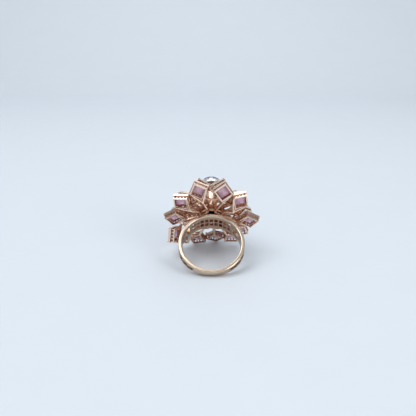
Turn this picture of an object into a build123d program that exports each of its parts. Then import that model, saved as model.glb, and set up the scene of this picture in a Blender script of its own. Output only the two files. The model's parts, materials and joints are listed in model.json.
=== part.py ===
from build123d import *
import math
import os

# A cocktail ring: a flower of square open-backed settings on a pierced shank, millimetres.
# It is built about the finger axis (Y) with the flower towards +Z, then laid on the table.

# Shank
finger_bore = 17.3            # inside diameter, a standard finger size
band_thickness = 1.05
band_width_top = 6.2
band_width_bottom = 2.0
band_rounding = 0.28          # the four long edges of the shank
rail_width = 0.62             # polished rails along both edges of the shank
lattice_depth = 0.6           # the zig-zag windows stop short of the inner surface
lattice_pitch = 2.3
lattice_bar = 0.42
lattice_start = 30            # degrees from the bottom of the shank, plain below it
lattice_end = 104
shoulder_angle = 28           # degrees above the finger axis
shoulder_length = 4.0
shoulder_width = 3.0

# Pierced gallery plate over the finger
gallery_half_angle = 42
gallery_thickness = 0.6
gallery_columns = 9
gallery_rows = 2
gallery_window_long = 1.05
gallery_window_wide = 1.35
gallery_row_pitch = 1.75

# Head basket
basket_radius = 4.0
basket_wall = 0.6
basket_height = 2.15          # above the top of the shank
basket_windows = 10
basket_window_wide = 1.85
basket_window_high = 0.65
basket_window_rows = (0.25, 1.55)   # above the top of the shank
plate_radius = 7.4            # pierced plate on top of the basket
plate_height = 0.45
plate_windows = 18
plate_window_long = 2.4
plate_window_wide = 1.15

# Square settings
bezel_wall = 0.42
bezel_height = 0.8
lower_rail_height = 0.42
lower_rail_wall = 0.4
lower_rail_share = 0.92       # the lower rail's side as a share of the upper rail's
post_width = 0.3
post_depth = 0.22
post_inset = 0.2
posts_per_side = 3
prong_radius = 0.28
prong_rise = 0.3
stone_clearance = 0.02
ledge_width = 0.28
strut_radius = 0.36
strut_bite = 0.25             # how far a strut runs in under the corner that it carries
rib_radius = 0.26             # three ribs run together under each outer petal
rib_reach = 0.86              # where they meet, in sides of the setting, in from its middle
rib_drop_front = 1.2          # and how far they meet below it, over the gap and over the shank
rib_drop_side = -0.2
rib_anchor_height = 0.9       # on the basket, above the top of the shank

# Tiers of petals
outer_side = 4.5
outer_depth = 2.0
# side, depth, count, first azimuth, reach, height, droop and cup of the tiers above them;
# a reach is in sides of the setting and a height is above the top of the shank,
# and the droop lets the petals at the sides follow the finger down
upper_tiers = {
    "middle": (4.0, 1.8, 10, 18, 3.02, 7.1, 2.4, 24),
    "inner": (3.6, 1.6, 8, 12, 2.5, 8.5, 1.2, 36),
    "heart": (3.0, 1.4, 6, 30, 2.1, 10.6, 0.0, 46),
}

# azimuth from the front, reach of the outer corner, its height, cup and turn
outer_petals = [
    (-20, 3.18, 4.5, 20, -6),
    (16, 3.18, 3.9, 28, -4),
    (46, 3.12, 3.3, 18, -8),
    (79, 3.26, -0.7, -2, 0),
    (116, 2.86, 0.8, 4, 0),
    (145, 3.2, 2.1, 9, 0),
    (173.5, 3.18, 4.1, 18, 0),
    (-157.5, 3.2, 2.5, 12, 0),
    (-128.6, 3.28, -0.4, -3, 0),
    (-103.6, 3.02, -6.1, -68, 0),
    (-80, 3.24, 0.4, -4, 0),
    (-50, 3.26, 2.5, 8, 0),
]

# Stem and dome
stem_radius = 1.9
stem_wall = 0.5
dome_radius = 4.3
dome_wall = 0.85
dome_height = 11.7            # the foot of the dome above the top of the shank
dome_rim_height = 0.5
dome_rim_out = 0.2
baguette_count = 8
baguette_wide = 1.7
baguette_long = 2.3
baguette_depth = 0.5
baguette_elevation = 42
crown_bezel_radius = 1.0
crown_bezel_height = 0.5
crown_stone_radius = 0.78

shank_radius = finger_bore / 2 + band_thickness
basket_top = shank_radius + basket_height
dome_base = shank_radius + dome_height


def width_at(z):
    """Width of the tapered shank at height z."""
    share = (z + shank_radius) / (2 * shank_radius)
    return band_width_bottom + (band_width_top - band_width_bottom) * share


def finger_cylinder(radius):
    return Rot(X=90) * Cylinder(radius, 4 * band_width_top)


def tapered_slab(inset):
    """The space between the two side planes of the shank, each moved in by inset."""
    top = 2 * shank_radius
    low, high = width_at(-top) / 2 - inset, width_at(top) / 2 - inset
    outline = Polygon((-low, -top), (low, -top), (high, top), (-high, top), align=None)
    return extrude(Plane.YZ * outline, amount=top, both=True)


def radial_plane(angle, radius):
    """A plane on the shank, angle degrees above +X; its x runs round the shank, its y is Y."""
    out = Vector(math.cos(math.radians(angle)), 0, math.sin(math.radians(angle)))
    return Plane(origin=out * radius, x_dir=Vector(-out.Z, 0, out.X), z_dir=out)


def top_wedge(half_angle):
    """The sector over the finger."""
    reach = 2 * shank_radius
    side = reach * math.tan(math.radians(half_angle))
    outline = Polygon((0, 0), (side, reach), (-side, reach), align=None)
    return extrude(Plane.XZ * outline, amount=reach, both=True)


def gallery_space(thickness):
    ring = finger_cylinder(finger_bore / 2 + thickness) - finger_cylinder(finger_bore / 2)
    return ring & tapered_slab(rail_width) & top_wedge(gallery_half_angle)


def lattice_cutters():
    """Triangles that leave zig-zag bars between the two rails."""
    cutters = []
    step = math.degrees(lattice_pitch / shank_radius)
    count = int((lattice_end - lattice_start) / step)
    for side in (-1, 1):
        for k in range(count):
            for half, way in ((0, 1), (0.5, -1)):
                angle = -90 + side * (lattice_start + (k + half + 0.5) * step)
                plane = radial_plane(angle, shank_radius)
                reach = width_at(plane.origin.Z) / 2 - rail_width
                base = (lattice_pitch - lattice_bar) / 2
                outline = Polygon((-base, way * reach), (base, way * reach),
                                  (0, -way * reach), align=None)
                cutters.append(extrude(plane * outline, amount=-lattice_depth))
                cutters.append(extrude(plane * outline, amount=lattice_depth))
    return cutters


def shank():
    band = finger_cylinder(shank_radius) - finger_cylinder(finger_bore / 2)
    band = band & tapered_slab(0)
    band = fillet(band.edges(), band_rounding)
    band -= gallery_space(2 * band_thickness)
    for angle in (shoulder_angle, 180 - shoulder_angle):
        way = 1 if angle < 90 else -1
        plane = radial_plane(angle, shank_radius)
        outline = Polygon((-way * shoulder_length / 2, 0),
                          (way * shoulder_length / 2, shoulder_width / 2),
                          (way * shoulder_length / 2, -shoulder_width / 2), align=None)
        band -= extrude(plane * outline, amount=2 * band_thickness, both=True)
    return band - lattice_cutters()


def finger_gallery():
    plate = gallery_space(gallery_thickness)
    pitch = 2 * gallery_half_angle / gallery_columns
    cutters = []
    for column in range(gallery_columns):
        angle = 90 - gallery_half_angle + (column + 0.5) * pitch
        plane = radial_plane(angle, finger_bore / 2)
        for row in range(gallery_rows):
            y = (row - (gallery_rows - 1) / 2) * gallery_row_pitch
            window = Pos(0, y) * Rectangle(gallery_window_long, gallery_window_wide)
            cutters.append(extrude(plane * window, amount=2 * gallery_thickness, both=True))
    return plate - cutters


def square(side):
    return Rot(Z=45) * Rectangle(side, side)


def side_rotations():
    return [Rot(Z=45 + 90 * k) for k in range(4)]


def step_stone(side, drop):
    """Square step-cut stone; its table stands just above the bezel, drop is to the keel."""
    steps = ((0.1, 0.6), (-0.1, 0.83), (-0.34, 1.0), (-0.48, 1.0),
             (-0.48 - 0.4 * drop, 0.76), (-0.48 - 0.72 * drop, 0.46), (-0.48 - drop, 0.12))
    sections = [Pos(0, 0, z) * square(side * share) for z, share in steps]
    return loft(sections, ruled=True)


def setting(side, depth, stone):
    """Open-backed box: bezel rail, lower rail, little posts between them and corner prongs."""
    bezel = extrude(square(side) - square(side - 2 * bezel_wall), amount=-bezel_height)
    opening = side - 2 * bezel_wall - 2 * ledge_width
    ledge_floor = Pos(0, 0, -bezel_height) * (square(side - bezel_wall) - square(opening))
    ledge = extrude(ledge_floor, amount=0.36)
    low_side = side * lower_rail_share
    rail_floor = Pos(0, 0, -depth) * (square(low_side) - square(low_side - 2 * lower_rail_wall))
    rail = extrude(rail_floor, amount=lower_rail_height)
    gap = depth - bezel_height - lower_rail_height
    post_middle = -bezel_height - gap / 2
    posts = []
    reach = side / 2 - post_inset - post_depth / 2
    for turn in side_rotations():
        for k in range(posts_per_side + 1):
            along = (k / (posts_per_side + 1) - 0.5) * 2 * reach
            post = Box(post_depth, post_width, gap + 0.2)
            posts.append(turn * Pos(reach, along, post_middle) * post)
    prongs = []
    for k in range(4):
        corner = Rot(Z=90 * k) * Pos(side / math.sqrt(2) - 1.35 * prong_radius, 0, 0)
        prong = Cylinder(prong_radius, bezel_height + prong_rise,
                         align=(Align.CENTER, Align.CENTER, Align.MIN))
        prongs.append(corner * Pos(0, 0, -bezel_height) * prong)
    body = bezel + [ledge, rail] + posts + prongs
    return body - stone


def petal_place(azimuth, reach, height, cup, turn, side):
    """Where a setting goes: its outer bezel corner at reach and height, tilted up by cup."""
    a = math.radians(azimuth)
    out = reach * side
    tip = Vector(math.sin(a) * out, -math.cos(a) * out, shank_radius + height)
    radial = Vector(math.sin(a), -math.cos(a), 0).rotate(Axis.Z, turn)
    c = math.radians(cup)
    outward = radial * math.cos(c) + Vector(0, 0, math.sin(c))
    normal = radial * -math.sin(c) + Vector(0, 0, math.cos(c))
    return Plane(tip - outward * (side / math.sqrt(2)), x_dir=outward, z_dir=normal).location


def point_on(place, x, y, z):
    return (place * Pos(x, y, z)).position


def rod(start, end, radius):
    way = end - start
    return Plane(origin=start, z_dir=way).location * Cylinder(
        radius, way.length, align=(Align.CENTER, Align.CENTER, Align.MIN))


def inner_foot(place, side, depth):
    """The foot of a setting that its strut is soldered to."""
    share = lower_rail_share / math.sqrt(2)
    return point_on(place, -side * share + strut_bite, 0, -depth + lower_rail_height / 2)


def strut_to(foot, radius, height):
    """A strut to a foot, from the same side of an upright post or ring."""
    start = Vector(foot.X, foot.Y, 0).normalized() * radius + Vector(0, 0, height)
    return rod(start, foot, strut_radius)


def ribs_under(place, azimuth):
    """Where the ribs of an outer petal start on its lower rail, and where they meet."""
    half = outer_side * lower_rail_share / math.sqrt(2) - strut_bite
    level = -outer_depth + lower_rail_height / 2
    share = math.cos(math.radians(azimuth)) ** 2
    drop = rib_drop_side + (rib_drop_front - rib_drop_side) * share
    meeting = point_on(place, -rib_reach * outer_side, 0, level - drop)
    lift = max(1, (shank_radius + rib_radius) / math.hypot(meeting.X, meeting.Z))
    meeting = Vector(lift * meeting.X, meeting.Y, lift * meeting.Z)
    starts = [point_on(place, -half, 0, level), point_on(place, 0, half, level),
              point_on(place, 0, -half, level)]
    return starts, meeting


def head_basket(outer_places, middle_feet, neighbours):
    drum = Cylinder(basket_radius, basket_top, align=(Align.CENTER, Align.CENTER, Align.MIN))
    drum -= Cylinder(basket_radius - basket_wall, 3 * basket_top)
    for row in basket_window_rows:
        for k in range(basket_windows):
            window = Box(basket_window_wide, 2 * basket_radius, basket_window_high)
            turn = Rot(Z=360 * k / basket_windows)
            drum -= turn * Pos(0, -basket_radius - basket_wall, shank_radius + row) * window
    drum -= finger_cylinder(shank_radius)
    plate = Cylinder(plate_radius, plate_height, align=(Align.CENTER, Align.CENTER, Align.MIN))
    plate -= Cylinder(stem_radius, 3 * plate_height)
    for k in range(plate_windows):
        window = Box(plate_window_long, plate_window_wide, 3 * plate_height)
        plate -= Rot(Z=360 * (k + 0.5) / plate_windows) * Pos(
            (plate_radius + basket_radius) / 2, 0, 0) * window
    body = drum + Pos(0, 0, basket_top) * plate
    for petal, place in zip(outer_petals, outer_places):
        starts, meeting = ribs_under(place, petal[0])
        for start in starts:
            body += rod(start, meeting, rib_radius)
        anchor = Vector(meeting.X, meeting.Y, 0).normalized() * (basket_radius - basket_wall / 2)
        anchor += Vector(0, 0, shank_radius + rib_anchor_height)
        body += rod(anchor, meeting, strut_radius) + Pos(meeting) * Sphere(strut_radius)
    for foot in middle_feet:
        body += strut_to(foot, plate_radius - strut_radius, basket_top + plate_height / 2)
    body -= neighbours
    return body.solids().sort_by(SortBy.VOLUME)[-1]


def flower_stem(feet, settings):
    height = dome_base - basket_top
    tube = Cylinder(stem_radius, height, align=(Align.CENTER, Align.CENTER, Align.MIN))
    plate = Cylinder(dome_radius - dome_wall, stem_wall,
                     align=(Align.CENTER, Align.CENTER, Align.MAX))
    body = Pos(0, 0, basket_top) * tube + Pos(0, 0, dome_base) * plate
    for foot in feet:
        body += strut_to(foot, stem_radius - stem_wall / 2, foot.Z)
    body -= Cylinder(stem_radius - stem_wall, 3 * dome_base)
    return body - settings


def baguette_places():
    places = []
    for k in range(baguette_count):
        around = math.radians(360 * (k + 0.5) / baguette_count)
        up = math.radians(baguette_elevation)
        out = Vector(math.cos(around) * math.cos(up), math.sin(around) * math.cos(up), math.sin(up))
        across = Vector(-math.sin(around), math.cos(around), 0)
        base = Vector(0, 0, dome_base)
        seat = dome_radius - baguette_depth
        places.append(Plane(base + out * seat, x_dir=across, z_dir=out).location)
    return places


def baguette():
    """Rectangular step-cut stone, its flat back on the floor of its pocket."""
    wide = baguette_wide - 2 * stone_clearance
    long = baguette_long - 2 * stone_clearance
    steps = ((0, 1.0), (baguette_depth * 0.75, 1.0), (baguette_depth, 0.72))
    sections = [Pos(0, 0, z) * Rectangle(wide * s, long * (1 - (1 - s) * wide / long))
                for z, s in steps]
    return loft(sections, ruled=True)


def dome_frame():
    ball = Sphere(dome_radius) - Sphere(dome_radius - dome_wall)
    upper = Pos(0, 0, dome_radius) * Box(3 * dome_radius, 3 * dome_radius, 2 * dome_radius)
    rim = Cylinder(dome_radius + dome_rim_out, dome_rim_height,
                   align=(Align.CENTER, Align.CENTER, Align.MIN))
    rim -= Cylinder(dome_radius - dome_wall, 3 * dome_rim_height)
    crown = Pos(0, 0, dome_radius - dome_wall / 2) * Cylinder(
        crown_bezel_radius, dome_wall / 2 + crown_bezel_height,
        align=(Align.CENTER, Align.CENTER, Align.MIN))
    body = Pos(0, 0, dome_base) * ((ball & upper) + rim + crown)
    for place in baguette_places():
        pocket = Box(baguette_wide, baguette_long, 2 * baguette_depth,
                     align=(Align.CENTER, Align.CENTER, Align.MIN))
        body -= place * pocket
    return body - crown_stone()


def crown_stone():
    """Small round stone on top of the dome."""
    top = dome_base + dome_radius + crown_bezel_height
    pavilion = Cone(0.1, crown_stone_radius, 0.45, align=(Align.CENTER, Align.CENTER, Align.MIN))
    crown = Cone(crown_stone_radius, 0.6 * crown_stone_radius, 0.22,
                 align=(Align.CENTER, Align.CENTER, Align.MIN))
    girdle = Cylinder(crown_stone_radius, 0.06, align=(Align.CENTER, Align.CENTER, Align.MIN))
    stone = pavilion + Pos(0, 0, 0.45) * girdle + Pos(0, 0, 0.51) * crown
    return Pos(0, 0, top - 0.5) * stone


def tier(name, places, side, depth):
    """The settings of one tier, each a node of its own, and its stones."""
    stone = step_stone(side - 2 * bezel_wall - 2 * stone_clearance, depth - 0.75)
    box = setting(side, depth, stone)
    petals = {f"{name}_petal_{k:02d}": place * box for k, place in enumerate(places, start=1)}
    stones = {f"{name}_stone_{k:02d}": place * stone for k, place in enumerate(places, start=1)}
    feet = [inner_foot(place, side, depth) for place in places]
    return petals, stones, feet


def lean_angle(places):
    """Angle of the table plane that touches the shank's back edge and the lowest petals."""
    edge_y, edge_z = width_at(-shank_radius) / 2, -shank_radius
    angles = []
    for place in places:
        for x, y in ((1, 0), (0, 1), (0, -1)):
            reach = outer_side * lower_rail_share / math.sqrt(2)
            corner = point_on(place, x * reach, y * reach, -outer_depth)
            if corner.Y > edge_y:
                angles.append(math.degrees(math.atan2(corner.Z - edge_z, corner.Y - edge_y)))
    return min(angles)


outer_places = [petal_place(*petal, outer_side) for petal in outer_petals]
petals, stones, _ = tier("outer", outer_places, outer_side, outer_depth)
nodes = petals | stones
outer_settings = list(petals.values())
upper_feet, upper_settings = {}, {}
for name, (side, depth, count, first, reach, height, droop, cup) in upper_tiers.items():
    places = []
    for k in range(count):
        azimuth = first + 360 * k / count
        drop = droop * math.sin(math.radians(azimuth)) ** 2
        places.append(petal_place(azimuth, reach, height - drop, cup, 0, side))
    petals, stones, upper_feet[name] = tier(name, places, side, depth)
    upper_settings[name] = list(petals.values())
    nodes |= petals
    nodes[f"{name}_stones"] = Compound(list(stones.values()))

nodes["shank"] = shank()
nodes["finger_gallery"] = finger_gallery()
neighbours = outer_settings + upper_settings["middle"] + [nodes["shank"], nodes["finger_gallery"]]
nodes["head_basket"] = head_basket(outer_places, upper_feet["middle"], neighbours)
nodes["flower_stem"] = flower_stem(upper_feet["inner"] + upper_feet["heart"],
                                   upper_settings["inner"] + upper_settings["heart"])
nodes["dome_frame"] = dome_frame()
nodes["dome_baguettes"] = Compound([place * baguette() for place in baguette_places()])
nodes["crown_stone"] = crown_stone()

# Lay the ring back on the table, then put the origin under the middle of its box
lean = lean_angle(outer_places)
leaned = {name: Rot(X=-lean) * shape for name, shape in nodes.items()}
box = Compound([shape for shape in leaned.values()]).bounding_box()
ground = Pos(-box.center().X, -box.center().Y, -box.min.Z)
os.makedirs("parts", exist_ok=True)
for name, shape in leaned.items():
    export_step(ground * shape, f"parts/{name}.step")
bore = (ground * Rot(X=-lean)).position
print("lean", round(lean, 3), "box", box.size, "finger centre", bore)
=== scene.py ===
import json
import math
import bpy
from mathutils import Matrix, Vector

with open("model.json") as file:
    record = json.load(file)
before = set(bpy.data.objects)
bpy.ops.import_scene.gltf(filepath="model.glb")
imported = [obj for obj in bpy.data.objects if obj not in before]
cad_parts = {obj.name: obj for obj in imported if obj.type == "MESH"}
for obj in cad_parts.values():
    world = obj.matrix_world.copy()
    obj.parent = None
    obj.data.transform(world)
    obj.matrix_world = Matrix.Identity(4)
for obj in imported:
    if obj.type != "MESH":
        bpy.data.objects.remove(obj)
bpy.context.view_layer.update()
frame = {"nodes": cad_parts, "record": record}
print("frame loaded with", len(frame["nodes"]), "nodes")

# The ring's own axes: finger runs away through the bore, ringUp goes from the finger to the flower
bore = [m for m in frame["record"]["mounts"] if m["name"] == "finger_bore"][0]
fingerCentre = Vector(bore["pos_m"])
finger = -Vector(bore["axis"]).normalized()
across = Vector((1, 0, 0))
ringUp = across.cross(finger).normalized()


class Link:  # a node socket, with sums written as Python sums
    def __init__(self, maker, socket):
        self.maker, self.socket = maker, socket

    def sum(self, operation, first, second=None):
        values = {0: first} if second is None else {0: first, 1: second}
        return self.maker.node("ShaderNodeMath", {"operation": operation}, values)

    def __add__(self, other): return self.sum("ADD", self, other)
    def __radd__(self, other): return self.sum("ADD", other, self)
    def __sub__(self, other): return self.sum("SUBTRACT", self, other)
    def __rsub__(self, other): return self.sum("SUBTRACT", other, self)
    def __mul__(self, other): return self.sum("MULTIPLY", self, other)
    def __rmul__(self, other): return self.sum("MULTIPLY", other, self)
    def __pow__(self, other): return self.sum("POWER", self, other)

    def out(self, name):  # another output of the same node
        return Link(self.maker, self.socket.node.outputs[name])


class Nodes:  # makes nodes in one tree
    def __init__(self, tree):
        self.tree = tree

    def node(self, kind, settings=None, values=None, out=0):
        made = self.tree.nodes.new(kind)
        for key, value in (settings or {}).items():
            if key == "stops":
                ramp = made.color_ramp
                while len(ramp.elements) > 1:
                    ramp.elements.remove(ramp.elements[-1])
                ramp.elements[0].position, ramp.elements[0].color = value[0]
                for place, colour in value[1:]:
                    ramp.elements.new(place).color = colour
            else:
                setattr(made, key, value)
        self.feed(made, values or {})
        return Link(self, made.outputs[out])

    def feed(self, made, values):
        for key, value in values.items():
            if isinstance(value, Link):
                self.tree.links.new(value.socket, made.inputs[key])
            else:
                made.inputs[key].default_value = value

    def mix(self, amount, first, second, blend="MIX"):  # colours
        return self.node("ShaderNodeMix", {"data_type": "RGBA", "blend_type": blend},
                         {0: amount, 6: first, 7: second}, out=2)

    def ramp(self, amount, stops):
        return self.node("ShaderNodeValToRGB", {"stops": stops}, {0: amount})


class Finish(Nodes):  # one material
    def __init__(self, name):
        self.material = bpy.data.materials.new(name)
        self.material.use_nodes = True
        super().__init__(self.material.node_tree)
        self.shader = self.tree.nodes["Principled BSDF"]

    def noise(self, scale, detail=3.0, rough=0.55, stretch=(1, 1, 1)):
        where = self.node("ShaderNodeTexCoord", out="Object")
        where = self.node("ShaderNodeMapping", None, {"Vector": where, "Scale": stretch})
        return self.node("ShaderNodeTexNoise", None,
                         {"Vector": where, "Scale": scale, "Detail": detail, "Roughness": rough})

    def openness(self, reach):  # 1 in the open, 0 deep in a recess; drives the painted shade in recesses
        return self.node("ShaderNodeAmbientOcclusion", {"samples": 6}, {"Distance": reach}, out=1)

    def softEdge(self, radius):  # edges worn round by polishing
        return self.node("ShaderNodeBevel", {"samples": 4}, {"Radius": radius})

    def bump(self, height, strength, distance, under=None):
        values = {"Height": height, "Strength": strength, "Distance": distance}
        if under:
            values["Normal"] = under
        return self.node("ShaderNodeBump", None, values)

    def set(self, **values):  # spaces in socket names are written as _
        self.feed(self.shader, {key.replace("_", " "): value for key, value in values.items()})
        return self.material


# Each metal's darkest colour is painted shade, laid into recesses by ambient occlusion; the exponent after
# it sets how far that shade spreads
roseGold = dict(bright=(0.98, 0.84, 0.70, 1), deep=(0.88, 0.62, 0.46, 1), paintedShade=(0.42, 0.15, 0.07, 1),
                rough=0.12, roughSpread=0.12, edge=0.00010, reach=0.0020, shadeFalloff=2.4)
shankGold = dict(bright=(0.82, 0.69, 0.56, 1), deep=(0.62, 0.49, 0.37, 1), paintedShade=(0.42, 0.20, 0.10, 1),
                 rough=0.12, roughSpread=0.10, edge=0.00006, reach=0.0008, shadeFalloff=1.6)
# The gallery under the flower is the same rose gold, darkened as painted shade for its place under the
# petals
shadedGalleryGold = dict(bright=(0.84, 0.60, 0.46, 1), deep=(0.56, 0.32, 0.22, 1), paintedShade=(0.20, 0.08, 0.04, 1),
                   rough=0.24, roughSpread=0.16, edge=0.00008, reach=0.0014, shadeFalloff=2.0)
whiteGold = dict(bright=(0.82, 0.82, 0.84, 1), deep=(0.62, 0.62, 0.66, 1), paintedShade=(0.16, 0.14, 0.16, 1),
                 rough=0.09, roughSpread=0.10, edge=0.00009, reach=0.0008, shadeFalloff=1.3)


polish = dict(driftScale=420.0, driftDetail=4.0, grain=2600.0, grainDetail=6.0, grainRough=0.7,
              brushed=(1, 1, 5), markStrength=0.25, markDepth=0.000004, recessRough=0.2)


# Polished cast metal: colour drift, fine polishing marks, and painted shade that darkens the recesses
def castGold(name, look):
    metal = Finish(name)
    drift = metal.noise(polish["driftScale"], polish["driftDetail"])
    marks = metal.noise(polish["grain"], polish["grainDetail"], polish["grainRough"], polish["brushed"])
    openToLight = metal.openness(look["reach"])
    polished = metal.mix(drift, look["deep"], look["bright"])
    # Painted shade: ambient occlusion blends the colour towards dark brown in recesses
    colour = metal.mix(openToLight ** look["shadeFalloff"], look["paintedShade"], polished)
    rough = (marks + drift) * look["roughSpread"] + (1 - openToLight) * polish["recessRough"]
    rough = rough + (look["rough"] - 0.5 * look["roughSpread"])
    worn = metal.bump(marks, polish["markStrength"], polish["markDepth"], metal.softEdge(look["edge"]))
    return metal.set(Base_Color=colour, Metallic=1.0, Roughness=rough, Normal=worn)


pinkStone = dict(pale=(1.0, 0.90, 0.98, 1), deep=(1.0, 0.50, 0.74, 1), ior=1.76, see=0.55)
plumStone = dict(pale=(0.42, 0.10, 0.24, 1), deep=(0.20, 0.03, 0.10, 1), ior=1.76, see=0.6)
clearStone = dict(pale=(0.97, 0.97, 1.0, 1), deep=(0.86, 0.86, 0.92, 1), ior=1.9, see=0.6)


cut = dict(rough=0.02, zoneScale=300.0, zoneDetail=2.0)


# Cut stone: clear and tinted, with a slight zoning of its colour
def gem(name, look):
    stone = Finish(name)
    zones = stone.noise(cut["zoneScale"], cut["zoneDetail"])
    colour = stone.mix(zones, look["deep"], look["pale"])
    return stone.set(Base_Color=colour, Roughness=cut["rough"], IOR=look["ior"],
                     Transmission_Weight=look["see"])


materials = {
    "rose_gold": castGold("roseGoldCast", roseGold),
    "white_gold": castGold("whiteGoldCast", whiteGold),
    "pink_stone": gem("pinkSapphire", pinkStone),
    "plum_stone": gem("plumGarnet", plumStone),
    "clear_stone": gem("clearStone", clearStone),
}
ownFinish = {
    "shank": castGold("shankGold", shankGold),
    # a darker copy of the rose gold, as painted shade
    "finger_gallery": castGold("shadedGalleryGold", shadedGalleryGold),
}
slotOf = {row["node"]: row["material_slot"] for row in frame["record"]["subparts"]}
for name, piece in frame["nodes"].items():
    finish = ownFinish.get(name) or materials[slotOf[name]]
    for slot in piece.material_slots:
        slot.material = finish
print("finishes set")

# Table, light and camera
table = dict(colour=(0.665, 0.727, 0.79, 1), mottle=0.97, mottleScale=60.0, mottleDetail=4.0, rough=0.6,
             front=-0.9, back=0.30, wide=1.6, bend=0.14, bendSteps=16, high=0.7)


# A paper sweep: flat under the ring, then one easy bend up behind it
def layTable():
    profile = [(table["front"], 0.0)]
    for k in range(table["bendSteps"] + 1):
        turn = math.radians(90 * k / table["bendSteps"])
        rise = table["bend"] * (1 - math.cos(turn))
        profile.append((table["back"] + table["bend"] * math.sin(turn), rise))
    profile.append((profile[-1][0], table["high"]))
    half = table["wide"] / 2
    corners = [(x, y, z) for y, z in profile for x in (-half, half)]
    faces = [(2 * k, 2 * k + 1, 2 * k + 3, 2 * k + 2) for k in range(len(profile) - 1)]
    mesh = bpy.data.meshes.new("table_top")
    mesh.from_pydata(corners, [], faces)
    mesh.polygons.foreach_set("use_smooth", [True] * len(faces))
    top = bpy.data.objects.new("table_top", mesh)
    bpy.context.scene.collection.objects.link(top)
    paper = Finish("tablePaper")
    mottle = paper.noise(table["mottleScale"], table["mottleDetail"])
    pale = table["colour"]
    shade = tuple(c * table["mottle"] for c in pale[:3]) + (1,)
    colour = paper.mix(mottle, shade, pale)
    mesh.materials.append(paper.set(Base_Color=colour, Roughness=table["rough"]))


lamps = [  # place in metres, size, watts
    ((-0.22, -0.05, 0.50), 0.35, 1.1),
    ((0.35, -0.35, 0.25), 0.26, 0.85),
    ((0.05, 0.22, 0.45), 0.30, 0.5),
]
lampAim = Vector((0, 0, 0.01))


def hangLamps():
    for k, (place, size, power) in enumerate(lamps):
        light = bpy.data.lights.new("softbox%d" % k, "AREA")
        light.size, light.energy = size, power
        lamp = bpy.data.objects.new("softbox%d" % k, light)
        lamp.location = place
        lamp.rotation_euler = (lampAim - lamp.location).to_track_quat("-Z", "Y").to_euler()
        bpy.context.scene.collection.objects.link(lamp)


sky = dict(colour=(0.94, 0.95, 0.97, 1), strength=0.62, dusk=(0.04, 0.03, 0.03, 1),
           bandUp=0.9, bandAway=0.45, bandMiddle=0.5, dimFrom=(0.30, 0.52), dimTo=(0.74, 0.92))


# An even pale room; what the metal mirrors also has a dim band, low in front of the ring and climbing behind
def fillRoom():
    world = bpy.data.worlds.new("paleRoom")
    world.use_nodes = True
    room = Nodes(world.node_tree)
    way = room.node("ShaderNodeTexCoord", out="Generated")
    axes = room.node("ShaderNodeSeparateXYZ", None, {0: way})
    level = axes.out("Z") * sky["bandUp"] - axes.out("Y") * sky["bandAway"] + sky["bandMiddle"]
    places = (*sky["dimFrom"], *sky["dimTo"])
    shades = (sky["colour"], sky["dusk"], sky["dusk"], sky["colour"])
    dim = room.ramp(level, list(zip(places, shades)))
    mirrored = room.node("ShaderNodeLightPath", out="Is Glossy Ray")
    back = world.node_tree.nodes["Background"]
    room.feed(back, {"Color": room.mix(mirrored, sky["colour"], dim), "Strength": sky["strength"]})
    bpy.context.scene.world = world


view = dict(below=38.0, distance=0.170, lens=50.08, sensor=36.0, near=0.01, far=10.0,
            left=0.00103, up=0.01122)


# The camera looks up the finger hole from below, with the ring low in its frame
def placeCamera():
    tilt = math.radians(view["below"])
    toCamera = -finger * math.cos(tilt) - ringUp * math.sin(tilt)
    upward = toCamera.cross(across).normalized()
    data = bpy.data.cameras.new("camera")
    data.sensor_width, data.lens = view["sensor"], view["lens"]
    data.clip_start, data.clip_end = view["near"], view["far"]
    camera = bpy.data.objects.new("camera", data)
    shift = view["up"] * upward - view["left"] * across
    camera.location = fingerCentre + view["distance"] * toCamera + shift
    camera.rotation_euler = toCamera.to_track_quat("Z", "Y").to_euler()
    bpy.context.scene.collection.objects.link(camera)
    bpy.context.scene.camera = camera


layTable()
hangLamps()
fillRoom()
placeCamera()
bpy.context.scene.view_settings.view_transform = "Standard"
print("table, light and camera placed")
